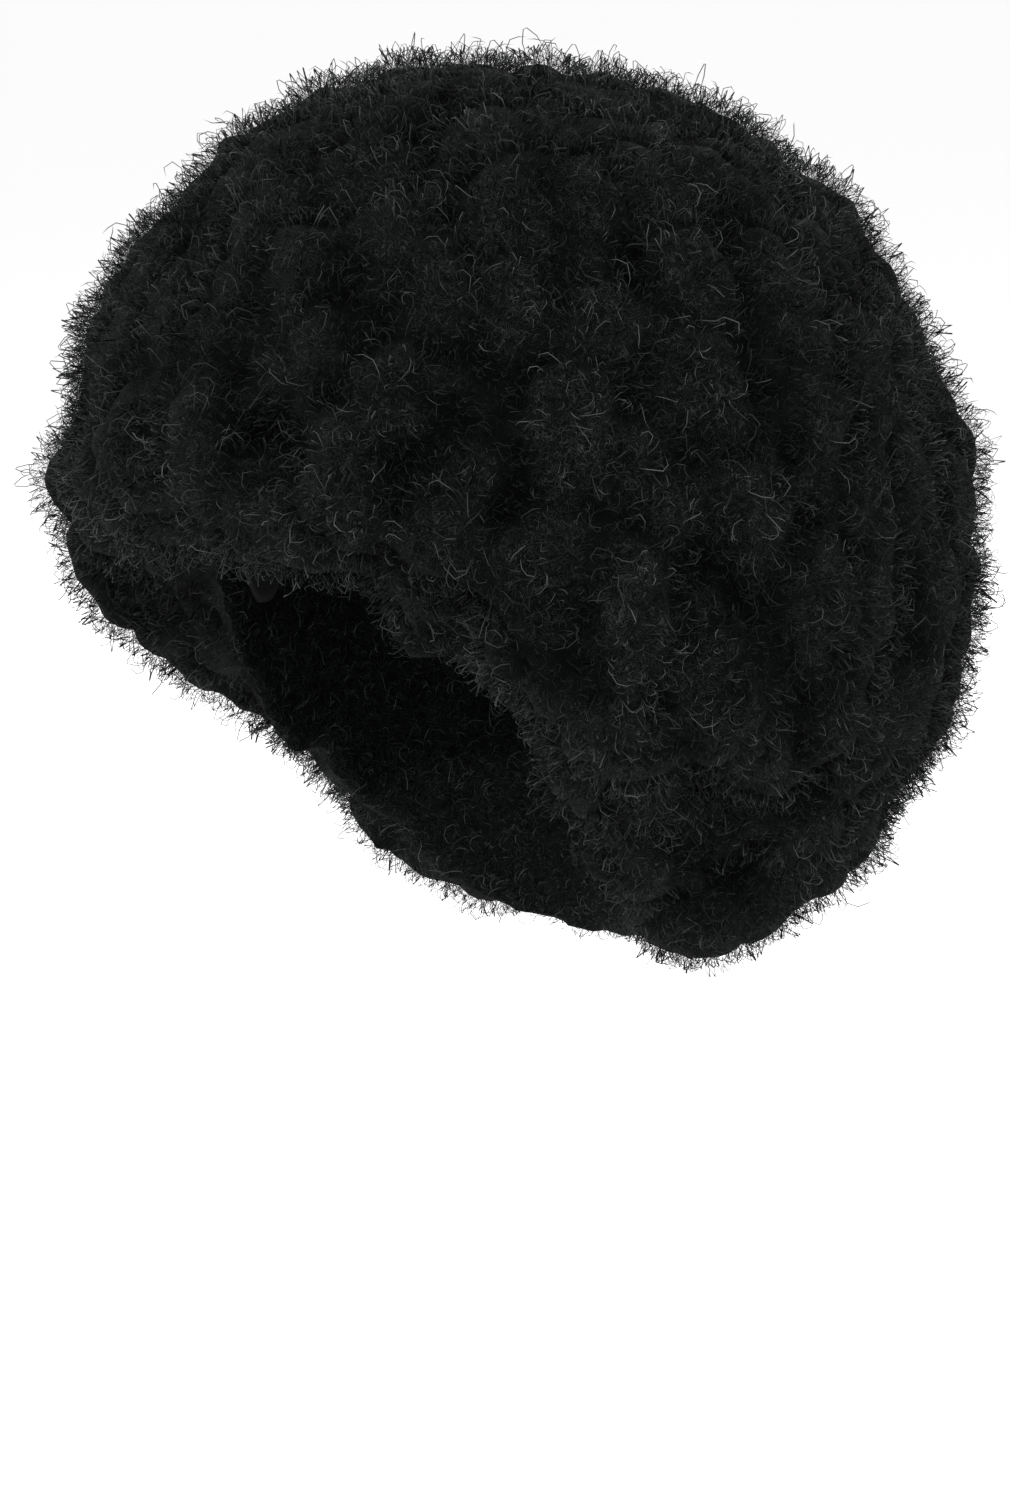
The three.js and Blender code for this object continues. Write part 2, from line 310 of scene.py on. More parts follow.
hair = {
    "rows": ["crown_row", "upper_row", "brow_row", "ear_row", "nape_row"],
    "rowEnds": [0, 2.5, 4.5, 6.5, 8.5, 11], "ringCount": 11, "middle": Vector((0, 0.033, 0.003)),
    "coneSides": 48, "coneInner": 0.01, "coneOuter": 0.4, "coneAxis": 1e-5,
    "cutNear": 0.05, "cutFacing": 0.2, "sharpAngle": 60,
    "mergeWithin": 1e-5, "inflate": 0.0005, "voxel": 0.0042, "smoothing": 10, "shrink": 0.55, "regrow": 0.57,
    "ballSmoothing": 30, "rimFacing": 0.3, "ballFacing": 0.7, "rimSteps": 6, "normalSmoothing": 10,
    "inset": 0.0062, "most": -0.0016, "knee": 0.002,
    "spike": 0.0018, "spikeRarity": 6, "spikeSeed": 9,
    "uneven": 0.0032, "unevenSize": 0.0095, "unevenSeed": 21,
    "napeFrom": -0.115, "napeTo": -0.150, "napeFuller": 0.3, "napeShorter": 0.2,
    "skinNear": 0.003, "skinFar": 0.012, "skinLift": 0.6, "capNear": 0.006,
    # how much painted light a place gets: some everywhere, more on its tuft, and more on its clump, which
    # leaves painted shade in the creases between them; skinLift is the least painted light that places near
    # the skin get
    "paintedLightEverywhere": 0.10, "paintedLightOnTuft": 0.30, "paintedLightOnClump": 0.50,
    "fullerFrom": 0.1, "fullerTo": 0.6,  # how far a place has to face outwards to be made fuller
    # fuller and flatter places of the ball: direction from its middle, angle that it covers, and height
    "fuller": [
        ((0.76, 0.56, -0.34), 11, 0.0090), ((0.74, 0.66, 0.17), 9, 0.0055),
        ((0.41, 0.52, 0.76), 11, 0.0035), ((-0.37, -0.10, 0.93), 11, 0.0050),
        ((-0.72, -0.49, 0.49), 11, 0.0035), ((-0.79, -0.61, 0.05), 12, 0.0045),
        ((0.31, 0.04, -0.95), 10, 0.0090), ((0.58, 0.31, -0.76), 12, 0.0040),
        ((0.0, 0.45, -0.90), 24, 0.0020), ((1.0, 0.0, 0.0), 22, -0.0020),
        ((-1.0, 0.0, 0.0), 22, -0.0012), ((0.06, 0.04, 1.0), 4, -0.0050),
    ],
}
tuft = {"spacing": 0.0135, "width": 0.8, "height": 0.0030, "uneven": 0.5, "drift": 0.004, "driftSize": 0.02,
        "stretch": 1.0, "seed": 5}
clump = {"spacing": 0.029, "width": 0.85, "height": 0.0080, "uneven": 0.25, "drift": 0.009, "driftSize": 0.04,
         "stretch": 0.62, "seed": 8, "crease": 0.18, "crown": 0.95}
headForm = {"halfWidth": 0.078, "halfLength": 0.098, "crownHeight": 0.108, "lowerHeight": 0.150}
neckForm = {"halfWidth": 0.055, "halfLength": 0.060, "centreY": 0.014, "top": -0.030}


def fromSkin(points):
    # rough distance from the form that the cap is stretched over
    x, y, z = points.T
    height = np.where(z < 0, headForm["lowerHeight"], headForm["crownHeight"])
    level = np.sqrt((x / headForm["halfWidth"]) ** 2 + (y / headForm["halfLength"]) ** 2 + (z / height) ** 2)
    head = (level - 1) * np.linalg.norm(points, axis=1) / np.maximum(level, 1e-6)
    ring = np.hypot(x / neckForm["halfWidth"], (y - neckForm["centreY"]) / neckForm["halfLength"])
    neck = np.where(z < neckForm["top"], (ring - 1) * neckForm["halfWidth"], 1.0)
    return np.minimum(head, neck)


def clearOfSkin(points, look):
    return smoothStep(fromSkin(points), look["skinNear"], look["skinFar"])


def atNape(points, look):
    return smoothStep(-points[:, 2], -look["napeFrom"], -look["napeTo"])


def outwardAt(points, look):
    # the way from the middle of the ball to each place
    outward = points - np.array(look["middle"])
    return outward / np.linalg.norm(outward, axis=1, keepdims=True)


def neighbourMean(mesh):
    # a function that averages values over the points next to each point
    edges = np.empty(2 * len(mesh.edges), np.int32)
    mesh.edges.foreach_get("vertices", edges)
    a, b = edges.reshape(-1, 2).T
    size = len(mesh.vertices)
    count = np.bincount(np.concatenate([a, b]), minlength=size).reshape(-1, 1)

    def mean(values):
        columns = [np.bincount(a, v[b], size) + np.bincount(b, v[a], size) for v in values.T]
        return np.stack(columns, 1) / count

    return mean


def smoothed(mesh, mean, look):
    # evens out the facets everywhere, and the rows' creases where the hair is a free ball
    points = pointsOf(mesh)
    for step in range(look["smoothing"]):
        points = points + look["shrink"] * (mean(points) - points)
        points = points - look["regrow"] * (mean(points) - points)
    setPoints(mesh, points)
    facing = (outwardAt(points, look) * normalsOf(mesh)).sum(1)
    free = smoothStep(facing, look["rimFacing"], look["ballFacing"])[:, None]
    for step in range(look["rimSteps"]):
        free = np.minimum(free, mean(free))
    for step in range(look["ballSmoothing"]):
        points = points + 0.5 * free * (mean(points) - points)
    setPoints(mesh, points)
    normals = normalsOf(mesh)
    for step in range(look["normalSmoothing"]):
        normals = 0.5 * (normals + mean(normals))
    return points, normals / np.linalg.norm(normals, axis=1, keepdims=True)


def spreadOut(points, spacing, seed):
    # points of the list that lie at least that far apart
    order = list(range(len(points)))
    random.Random(seed).shuffle(order)
    grid = {}
    chosen = []
    cells = np.floor(points / spacing).astype(int)
    around = [(i, j, k) for i in (-1, 0, 1) for j in (-1, 0, 1) for k in (-1, 0, 1)]
    for index in order:
        cell = tuple(cells[index])
        near = [q for d in around for q in grid.get((cell[0] + d[0], cell[1] + d[1], cell[2] + d[2]), ())]
        if all(np.dot(points[index] - q, points[index] - q) > spacing * spacing for q in near):
            grid.setdefault(cell, []).append(points[index])
            chosen.append(points[index])
    return np.array(chosen)


def wander(points, size, seed):
    # smooth uneven shifts, up to about one, that change over that distance
    waveCount, strength = 6, 1.4
    draw = np.random.default_rng(seed)
    waves = draw.normal(size=(3, waveCount, 3)) / size
    starts = draw.uniform(0, math.tau, (3, waveCount))
    return np.stack([np.sin(points @ waves[k].T + starts[k]).mean(1) * strength for k in range(3)], 1)


class DomeField:
    # domes spread over the hair, with creases where they meet
    nearest, lowest, highest = 3, -0.4, 1.5

    def __init__(self, points, look):
        seed = look["seed"]
        self.look = look
        self.squeeze = np.array((1.0, 1.0, look["stretch"]))
        self.middles = spreadOut(points * self.squeeze, look["spacing"], seed)
        self.tree = kdtree.KDTree(len(self.middles))
        for i, p in enumerate(self.middles):
            self.tree.insert(p, i)
        self.tree.balance()
        self.height = 1 + look["uneven"] * np.random.default_rng(seed).uniform(-1, 1, len(self.middles))

    def read(self, points):
        # how high each place lies on its dome, and where that dome's middle is
        reach = self.look["width"] * self.look["spacing"]
        places = points + self.look["drift"] * wander(points, self.look["driftSize"], self.look["seed"])
        lift = np.empty(len(points))
        middle = np.empty((len(points), 3))
        for i, place in enumerate(places * self.squeeze):
            best = -math.inf  # so that a place far from them all still gets a dome's middle
            for co, index, distance in self.tree.find_n(place, self.nearest):
                dome = self.height[index] * (1 - (distance / reach) ** 2)
                if dome > best:
                    best = dome
                    middle[i] = self.middles[index] / self.squeeze
            lift[i] = best
        return np.clip(lift, self.lowest, self.highest), middle


def clumpCrown(clumps, points):
    # from 0 in the creases between clumps to 1 at their middles
    return smoothStep(clumps.read(points)[0], clump["crease"], clump["crown"])


def makeCore(look):
    build = bmesh.new()
    for name in look["rows"]:
        build.from_mesh(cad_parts[name].data)
    bmesh.ops.remove_doubles(build, verts=build.verts, dist=look["mergeWithin"])
    build.normal_update()
    for v in build.verts:
        v.co += v.normal * look["inflate"]
    mesh = bpy.data.meshes.new("hair body")
    build.to_mesh(mesh)
    build.free()
    core = addObject("hair body", mesh)
    remesh = core.modifiers.new("even mesh", "REMESH")
    remesh.mode = "VOXEL"
    remesh.voxel_size = look["voxel"]
    mesh = bakedMesh(core)
    mean = neighbourMean(mesh)
    points, normals = smoothed(mesh, mean, look)
    clear = clearOfSkin(points, look)
    tufts = DomeField(points[clear > 0.5], tuft)
    clumps = DomeField(points[clear > 0.5], clump)
    rise = tuft["height"] * tufts.read(points)[0] + clump["height"] * (clumpCrown(clumps, points) - 0.5)
    inset = look["inset"] * (1 - look["napeFuller"] * atNape(points, look))
    rise = look["most"] - look["knee"] * np.logaddexp(0, (look["most"] + inset - rise) / look["knee"])
    draw = np.random.default_rng(look["spikeSeed"])
    spikes = draw.uniform(0, 1, (len(points), 1)) ** look["spikeRarity"]
    rise += look["spike"] * (0.5 * spikes + mean(spikes))[:, 0]
    rise += look["uneven"] * wander(points, look["unevenSize"], look["unevenSeed"])[:, 0]
    outward = outwardAt(points, look)
    onBall = smoothStep((outward * normals).sum(1), look["fullerFrom"], look["fullerTo"])
    for toward, angle, height in look["fuller"]:
        away = np.arccos(np.clip(outward @ Vector(toward).normalized(), -1, 1)) / math.radians(angle)
        rise += height * np.exp(-away ** 2) * onBall
    setPoints(mesh, points + normals * (clear * rise)[:, None])
    print("hair body", len(mesh.polygons), "faces,",
          len(clumps.middles), "clumps,", len(tufts.middles), "tufts")
    return core, tufts, clumps


def rowSpace(first, last, look):
    # a ring of space between two cones about the middle of the ball
    step, turns = math.pi / look["ringCount"], look["coneSides"]
    inner, outer = look["coneInner"], look["coneOuter"]
    profile = []
    for ring, radius in ((last, inner), (last, outer), (first, outer), (first, inner)):
        angle = ring * step
        profile.append((max(radius * math.sin(angle), look["coneAxis"]), radius * math.cos(angle)))
    corners = len(profile)
    points, faces = [], []
    for k in range(turns):
        turn = math.tau * k / turns
        points += [look["middle"] + Vector((r * math.cos(turn), r * math.sin(turn), z)) for r, z in profile]
    for k in range(turns):
        here, there = corners * k, corners * ((k + 1) % turns)
        for j in range(corners):
            n = (j + 1) % corners
            faces.append((here + j, there + j, there + n, here + n))
    return addObject("row space", meshFrom("row space", points, faces))


def cutRow(core, index, look):
    space = rowSpace(look["rowEnds"][index], look["rowEnds"][index + 1], look)
    row = addObject(look["rows"][index], core.data.copy())
    cut = row.modifiers.new("cut", "BOOLEAN")
    cut.operation = "INTERSECT"
    cut.solver = "MANIFOLD"
    cut.object = space
    mesh = bakedMesh(row)
    bpy.data.objects.remove(space)
    return row, mesh


capTree = BVHTree.FromPolygons([v.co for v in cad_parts["cap"].data.vertices],
                               [p.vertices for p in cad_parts["cap"].data.polygons])


def dressRow(mesh, index, tufts, clumps, look):
    # what the curls need to know: how far out a place is, which also sets their painted light and shade,
    # which way its tuft turns, and how many grow there
    points, normals = pointsOf(mesh), normalsOf(mesh)
    lift, middle = tufts.read(points)
    # painted light on tufts and clumps and painted shade in the creases, raised near the skin; stored as
    # lift, which also thins the curls in the creases
    light = look["paintedLightEverywhere"] + look["paintedLightOnTuft"] * lift
    light = light + look["paintedLightOnClump"] * clumpCrown(clumps, points)
    light = np.maximum(light, look["skinLift"] * (1 - clearOfSkin(points, look)))
    swirl = np.cross(normals, points - middle)
    setAttribute(mesh, "lift", "FLOAT", "POINT", np.clip(light, 0, 1))
    setAttribute(mesh, "swirl", "FLOAT_VECTOR", "POINT", swirl + 1e-6)  # never of no length
    setAttribute(mesh, "reach", "FLOAT", "POINT", np.linalg.norm(swirl, axis=1))
    setAttribute(mesh, "short", "FLOAT", "POINT", look["napeShorter"] * atNape(points, look))
    centres = np.array([p.center for p in mesh.polygons])
    facing = np.array([p.normal for p in mesh.polygons])
    outward = centres - np.array(look["middle"])
    polar = np.arctan2(np.hypot(outward[:, 0], outward[:, 1]), outward[:, 2]) * look["ringCount"] / math.pi
    along = np.abs((facing * outward).sum(1)) / np.linalg.norm(outward, axis=1)
    ends = look["rowEnds"][index:index + 2]
    fromCut = np.min([np.abs(polar - e) for e in ends], axis=0)
    onCut = (fromCut < look["cutNear"]) & (along < look["cutFacing"])
    inside = 1 - clearOfSkin(centres, look)
    underCap = np.array([capTree.find_nearest(Vector(c))[3] < look["capNear"] for c in centres])
    cover = np.where(onCut | (underCap & (inside > 0.5)), 0.0, 1.0)
    setAttribute(mesh, "cover", "FLOAT", "FACE", cover)
    setAttribute(mesh, "inside", "FLOAT", "FACE", inside)
    mesh.shade_smooth()
    mesh.set_sharp_from_angle(angle=math.radians(look["sharpAngle"]))
    mesh.materials.clear()
    mesh.materials.append(coreLook)


core, tufts, clumps = makeCore(hair)
rowPieces = []
for index, name in enumerate(hair["rows"]):
    row, mesh = cutRow(core, index, hair)
    dressRow(mesh, index, tufts, clumps, hair)
    rowPieces.append(row)
    print("row", name, len(mesh.polygons), "faces")
bpy.data.objects.remove(core)


# Single curls, in millimetres: x runs round the tuft, y points to its middle and z points out of the hair

curl = {
    "lying": 0.22, "standing": 0.30, "under": 0.46, "sides": 3, "root": -0.8,
    "quickRise": 1.7, "sag": 1.2, "hoopFrom": 0.15, "stalkTo": 0.3, "archPower": 1.4, "waveTurns": 1.7,
}


def whorlPath(t, start, end, turn, rise):
    radius = start + (end - start) * t
    angle = turn * t
    height = math.sin(min(1, curl["quickRise"] * t) * math.pi / 2) * rise - curl["sag"] * t * t
    return (radius * math.sin(angle), start - radius * math.cos(angle), curl["root"] + height)


def hoopPath(t, stalk, radius, turn, lean, drift):
    angle = turn * max(0, (t - curl["hoopFrom"]) / (1 - curl["hoopFrom"]))
    up = stalk * min(1, t / curl["stalkTo"]) + radius * (1 - math.cos(angle))
    return (radius * math.sin(angle), drift * t + lean * up, curl["root"] + up)


def corkPath(t, radius, turn, length, lean):
    angle = turn * t
    along = length * t
    return (radius * math.cos(angle) - radius + lean * along, radius * math.sin(angle), curl["root"] + along)


def archPath(t, span, height, bend):
    fromTop = 2 * t - 1
    turn = math.pi * (0.5 + 0.5 * math.copysign(abs(fromTop) ** curl["archPower"], fromTop))
    return (-0.5 * span * math.cos(turn), bend * math.sin(turn), curl["root"] + height * math.sin(turn))


def hookPath(t, across, height, end, sway):
    up = height * math.sin(math.pi * t) + end * t * t
    return (across * t, sway * math.sin(math.pi * t), curl["root"] + up)


def wavePath(t, length, swing, rise):
    across = swing * math.sin(curl["waveTurns"] * math.pi * t)
    return (length * (t - 0.5), across, curl["root"] + rise * math.sin(math.pi * t))


# each curl has a number of points, a path and the sizes that the path takes
lyingCurls = {
    "arc": (4, whorlPath, 3.8, 3.5, 1.7, 4.4),
    "highArc": (4, whorlPath, 3.3, 3.0, 1.8, 8.0),
    "smallArc": (4, whorlPath, 2.3, 2.1, 2.0, 6.0),
    "tinyArc": (4, whorlPath, 1.7, 1.6, 2.2, 4.6),
    "backArc": (4, whorlPath, -3.0, -2.7, -1.8, 6.8),
    "wideArc": (5, whorlPath, 4.8, 4.2, 2.2, 7.0),
    "whorl": (6, whorlPath, 3.0, 2.0, 4.0, 5.8),
    "wave": (5, wavePath, 8.0, 1.7, 7.4),
    "fibre": (3, whorlPath, 2.6, 2.5, 1.3, 5.6),
    "longFibre": (3, hookPath, 5.5, 6.0, 1.5, 1.4),
    "backFibre": (3, hookPath, -4.5, 5.4, 2.0, -1.6),
    "lowFibre": (3, whorlPath, 2.0, 1.9, 1.5, 4.2),
    "highFibre": (3, hookPath, 4.4, 7.4, 2.4, -1.8),
    "fineFibre": (3, whorlPath, 1.5, 1.4, 1.8, 5.0),
}
underCurls = {
    "underHook": (3, hookPath, 4.2, 6.0, 1.0, 1.6),
    "underHighHook": (3, hookPath, 3.8, 7.2, 1.6, -1.4),
    "underLowHook": (3, hookPath, 5.0, 4.6, 0.6, -2.0),
    "underBackHook": (3, hookPath, -4.0, 6.4, 1.2, 1.2),
    "underBackLowHook": (3, hookPath, -5.0, 5.0, 0.8, 2.2),
    "underBackHighHook": (3, hookPath, -3.6, 7.6, 1.8, -1.8),
    "underSideHook": (3, hookPath, 1.6, 5.8, 1.0, 3.4),
    "underBackSideHook": (3, hookPath, -1.4, 6.6, 1.4, -3.4),
}
standingCurls = {
    "lowArch": (5, archPath, 6.0, 5.0, 3.4),
    "broadArch": (5, archPath, 7.6, 7.0, -4.8),
    "arch": (5, archPath, 6.0, 8.5, 4.0),
    "narrowArch": (5, archPath, 4.5, 9.5, -3.6),
    "highArch": (6, archPath, 6.5, 11.0, 4.5),
    "roundHoop": (6, hoopPath, 3.0, 2.8, 5.0, 0.5, 2.0),
    "highHoop": (6, hoopPath, 6.0, 2.4, 4.8, -0.4, -2.0),
    "cork": (6, corkPath, 2.0, 6.0, 9.5, 0.4),
    "looseCork": (6, corkPath, 2.6, 5.0, 11.0, -0.4),
}


def strandMesh(name, thickness, count, path, *sizes):
    # a thin three-sided strand that tapers to a point at both ends
    sides = curl["sides"]
    line = [Vector(path(i / (count - 1), *sizes)) / 1000 for i in range(count)]
    ahead = [(line[min(i + 1, count - 1)] - line[max(i - 1, 0)]).normalized() for i in range(count)]
    side = ahead[0].orthogonal().normalized()
    radius = 0.0005 * thickness  # half of it, in metres
    points, faces = [line[0]], []
    for i in range(1, count - 1):
        side = (side - ahead[i] * side.dot(ahead[i])).normalized()
        for k in range(sides):
            points.append(line[i] + Quaternion(ahead[i], math.tau * k / sides) @ side * radius)
    points.append(line[-1])
    tip = len(points) - 1
    for k in range(sides):
        n = (k + 1) % sides
        faces.append((0, 1 + n, 1 + k))
        for i in range(count - 3):
            ring = 1 + sides * i
            faces.append((ring + k, ring + n, ring + sides + n, ring + sides + k))
        faces.append((tip - sides + k, tip - sides + n, tip))
    mesh = meshFrom(name, points, faces)
    mesh.materials.append(strandLook)
    mesh.shade_smooth()
    return mesh


def curlSet(name, thickness, paths, underPaths):
    # the strands underneath are thick, and dark from painted shade
    shapes = bpy.data.collections.new(name)
    for key in sorted(paths):
        shapes.objects.link(bpy.data.objects.new(key, strandMesh(key, thickness, *paths[key])))
    for key in sorted(underPaths):
        mesh = strandMesh(key, curl["under"], *underPaths[key])
        setAttribute(mesh, "under", "FLOAT", "POINT", np.ones(len(mesh.vertices)))
        shapes.objects.link(bpy.data.objects.new(key, mesh))
    return shapes


lyingSet = curlSet("lying curls", curl["lying"], lyingCurls, underCurls)
standingSet = curlSet("standing curls", curl["standing"], standingCurls, {})


def newTree(name, inputs):
    # a Geometry Nodes tree with these inputs and one geometry output
    tree = bpy.data.node_groups.new(name, "GeometryNodeTree")
    for label, kind, value in inputs:
        socket = tree.interface.new_socket(name=label, in_out="INPUT", socket_type="NodeSocket" + kind)
        if value is not None:
            socket.default_value = value
    tree.interface.new_socket(name="Geometry", in_out="OUTPUT", socket_type="NodeSocketGeometry")
    nodes = NodeSet(tree)
    return tree, nodes, nodes.add("NodeGroupInput").outputs


def named(nodes, name, kind="FLOAT"):
    return nodes.add("GeometryNodeInputNamedAttribute", {"Name": name}, data_type=kind).outputs["Attribute"]


# how lift, tuft and patches change the curls at a place, and the highest number that picks a shape
curlRange = {"creaseLift": 0.15, "openLift": 0.7, "tuftMiddle": 0.0025, "tuftRim": 0.0075,
             "shortNoise": 0.36, "longNoise": 0.64, "patchDetail": 1.0, "insideFlatter": 0.6, "lastPick": 99}


def curlTree(ranges):
    # curls spread over a surface, each turned with its tuft
    tree, nodes, given = newTree("curls on hair", [
        ("Geometry", "Geometry", None), ("Shapes", "Collection", None), ("Strand", "Material", None),
        ("Keep surface", "Bool", True), ("Spacing", "Float", 0.002), ("Per square metre", "Float", 50000.0),
        ("In creases", "Float", 0.6), ("Inside", "Float", 0.7), ("Smallest", "Float", 0.7),
        ("Largest", "Float", 1.3), ("Mid tuft", "Float", 1.0), ("Tuft rim", "Float", 1.0),
        ("Patches per metre", "Float", 75.0), ("Short patches", "Float", 1.0), ("Long patches", "Float", 1.0),
        ("Lean", "Float", 0.4), ("Spin", "Float", 0.8), ("Brightest", "Float", 1.0), ("Seed", "Int", 1),
    ])
    thinned = nodes.mapRange(named(nodes, "lift"), ranges["creaseLift"], ranges["openLift"],
                             given["In creases"], 1.0)
    skinSide = nodes.mapRange(named(nodes, "inside"), 0.0, 1.0, 1.0, given["Inside"])
    share = nodes.math("MULTIPLY", nodes.math("MULTIPLY", named(nodes, "cover"), thinned), skinSide)
    spread = nodes.add("GeometryNodeDistributePointsOnFaces", {
        "Mesh": given["Geometry"], "Distance Min": given["Spacing"], "Density Max": given["Per square metre"],
        "Density Factor": share, "Seed": given["Seed"]}, distribute_method="POISSON")
    upright = nodes.add("FunctionNodeAxesToRotation", {"Primary Axis": spread.outputs["Normal"],
                        "Secondary Axis": named(nodes, "swirl", "FLOAT_VECTOR")},
                        primary_axis="Z", secondary_axis="X")
    least = nodes.add("ShaderNodeCombineXYZ", {
        "X": nodes.math("MULTIPLY", given["Lean"], -1.0), "Y": nodes.math("MULTIPLY", given["Lean"], -1.0),
        "Z": nodes.math("MULTIPLY", given["Spin"], -1.0)})
    most = nodes.add("ShaderNodeCombineXYZ", {"X": given["Lean"], "Y": given["Lean"], "Z": given["Spin"]})
    turn = nodes.add("FunctionNodeRandomValue", {
        0: least.outputs[0], 1: most.outputs[0], "Seed": given["Seed"]}, data_type="FLOAT_VECTOR")
    loose = nodes.add("FunctionNodeEulerToRotation", {"Euler": turn.outputs[0]})
    turned = nodes.add("FunctionNodeRotateRotation", {"Rotation": upright.outputs[0],
                       "Rotate By": loose.outputs[0]}, rotation_space="LOCAL")
    vary = nodes.add("FunctionNodeRandomValue", {
        2: given["Smallest"], 3: given["Largest"], "Seed": given["Seed"]}, data_type="FLOAT").outputs[1]
    ringed = nodes.mapRange(named(nodes, "reach"), ranges["tuftMiddle"], ranges["tuftRim"],
                            given["Mid tuft"], given["Tuft rim"])
    patches = nodes.add("ShaderNodeTexNoise", {
        "Scale": given["Patches per metre"], "Detail": ranges["patchDetail"]}).outputs["Fac"]
    patchy = nodes.mapRange(patches, ranges["shortNoise"], ranges["longNoise"],
                            given["Short patches"], given["Long patches"])
    size = nodes.math("MULTIPLY", nodes.math("MULTIPLY", vary, ringed), patchy)
    pressed = nodes.math("MULTIPLY", named(nodes, "inside"), ranges["insideFlatter"])
    flatter = nodes.math("SUBTRACT", 1.0, pressed)
    flatter = nodes.math("MULTIPLY", flatter, nodes.math("SUBTRACT", 1.0, named(nodes, "short")))
    scale = nodes.add("ShaderNodeCombineXYZ", {
        "X": size, "Y": size, "Z": nodes.math("MULTIPLY", size, flatter)})
    shapes = nodes.add("GeometryNodeCollectionInfo", {
        "Collection": given["Shapes"], "Separate Children": True, "Reset Children": True})
    which = nodes.add("FunctionNodeRandomValue", {4: 0, 5: ranges["lastPick"], "Seed": given["Seed"]},
                      data_type="INT")
    placed = nodes.add("GeometryNodeInstanceOnPoints", {
        "Points": spread.outputs["Points"], "Instance": shapes.outputs[0], "Pick Instance": True,
        "Instance Index": which.outputs[2], "Rotation": turned.outputs[0], "Scale": scale.outputs[0]})
    shade = nodes.add("FunctionNodeRandomValue", {2: 0.0, 3: given["Brightest"], "Seed": given["Seed"]},
                      data_type="FLOAT")
    marked = nodes.add("GeometryNodeStoreNamedAttribute", {"Geometry": placed.outputs[0], "Name": "strand",
                       "Value": shade.outputs[1]}, data_type="FLOAT", domain="INSTANCE")
    real = nodes.add("GeometryNodeRealizeInstances", {"Geometry": marked.outputs[0]})
    painted = nodes.add("GeometryNodeSetMaterial", {"Geometry": real.outputs[0], "Material": given["Strand"]})
    kept = nodes.add("GeometryNodeSwitch", {"Switch": given["Keep surface"], "True": given["Geometry"]},
                     input_type="GEOMETRY")
    joined = nodes.add("GeometryNodeJoinGeometry")
    tree.links.new(painted.outputs[0], joined.inputs[0])
    tree.links.new(kept.outputs[0], joined.inputs[0])
    nodes.add("NodeGroupOutput", {"Geometry": joined.outputs[0]})
    return tree


def runTree(thing, tree, values, spent):
    # runs the tree on a piece, and drops the attributes that only the tree reads
    modifier = thing.modifiers.new(tree.name, "NODES")
    modifier.node_group = tree
    for item in tree.interface.items_tree:
        if item.in_out == "INPUT" and item.name in values:
            modifier[item.identifier] = values[item.name]
    mesh = bakedMesh(thing)
    for name in spent:
        if name in mesh.attributes:
            mesh.attributes.remove(mesh.attributes[name])
    mesh.validate()
    return triangleCount(mesh)


lying = {"Spacing": 0.0008, "Per square metre": 146000.0, "In creases": 0.75, "Inside": 0.8, "Smallest": 0.8,
         "Largest": 1.2, "Mid tuft": 0.75, "Tuft rim": 1.25, "Lean": 0.28, "Spin": 0.5,
         "Short patches": 0.88, "Long patches": 1.14, "Keep surface": True,
         "Shapes": lyingSet, "Strand": strandLook}
# the standing strands reach only a lower grey (Brightest): painted shade against the extra light they catch
# out in the open
standing = {"Spacing": 0.001, "Per square metre": 55000.0, "In creases": 0.75, "Inside": 0.3, "Smallest": 0.7,
            "Largest": 1.18, "Lean": 0.75, "Spin": 3.1, "Brightest": 0.55,
            "Short patches": 0.62, "Long patches": 1.22, "Keep surface": False,
            "Shapes": standingSet, "Strand": strandLook}
firstSeed = {"lying": 11, "standing": 31}
growthNotes = ("swirl", "cover", "inside", "reach", "short")  # only the tree reads these

tree = curlTree(curlRange)
total = 0
for index, row in enumerate(rowPieces):
    name = hair["rows"][index]
    row.name = name + "_curls"
    frizz = addObject(name + "_frizz", row.data.copy())
    count = runTree(row, tree, {**lying, "Seed": firstSeed["lying"] + index}, growthNotes)
    frizzCount = runTree(frizz, tree, {**standing, "Seed": firstSeed["standing"] + index}, growthNotes)
    for piece in (row, frizz):
        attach(piece, "root")
    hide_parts(name)
    total += count + frizzCount
    print(name, count, "triangles, frizz", frizzCount)
print("hair in all", total, "triangles")


# Cap: a stretch net with weft tapes across it and a stitched hem

cap = {
    "inner": -0.0005, "outer": 0.0010, "around": 132, "rows": 72, "outerRows": 12,
    # y and z of the edge, seen from the side, from the front to the nape
    "edge": [(-0.130, 0.044), (-0.097, 0.040), (-0.062, 0.024), (-0.042, -0.022), (-0.024, -0.026),
             (-0.002, 0.004), (0.026, -0.016), (0.058, -0.064), (0.092, -0.078), (0.130, -0.082)],
    "edgeSteps": 12, "dropFrom": 0.3, "dropTo": 2.4, "dropSteps": 500,
    "tapeGap": 0.021, "tapeWidth": 0.007, "tapeHeight": 0.0006, "tapeFlat": 0.35, "tapeFoot": 0.55,
    "crownBare": 0.03, "crownTaped": 0.045,
    "hemWidth": 0.011, "hemHeight": 0.0008, "hemFlat": 0.85,
    "stitchGap": 0.0036, "stitchLength": 0.0034, "stitchWidth": 0.0005, "stitchSlant": 0.65, "stitchSides": 6,
}
netFinish = {"dark": (0.004, 0.004, 0.0045, 1), "light": (0.040, 0.040, 0.043, 1), "pitch": 0.0030,
             "sharpness": 2.0, "fuzzPerMetre": 900.0, "leastFuzz": 0.35,
             "roughness": 0.85, "specular": 0.1, "bump": 0.0003, "bumpStrength": 0.9}
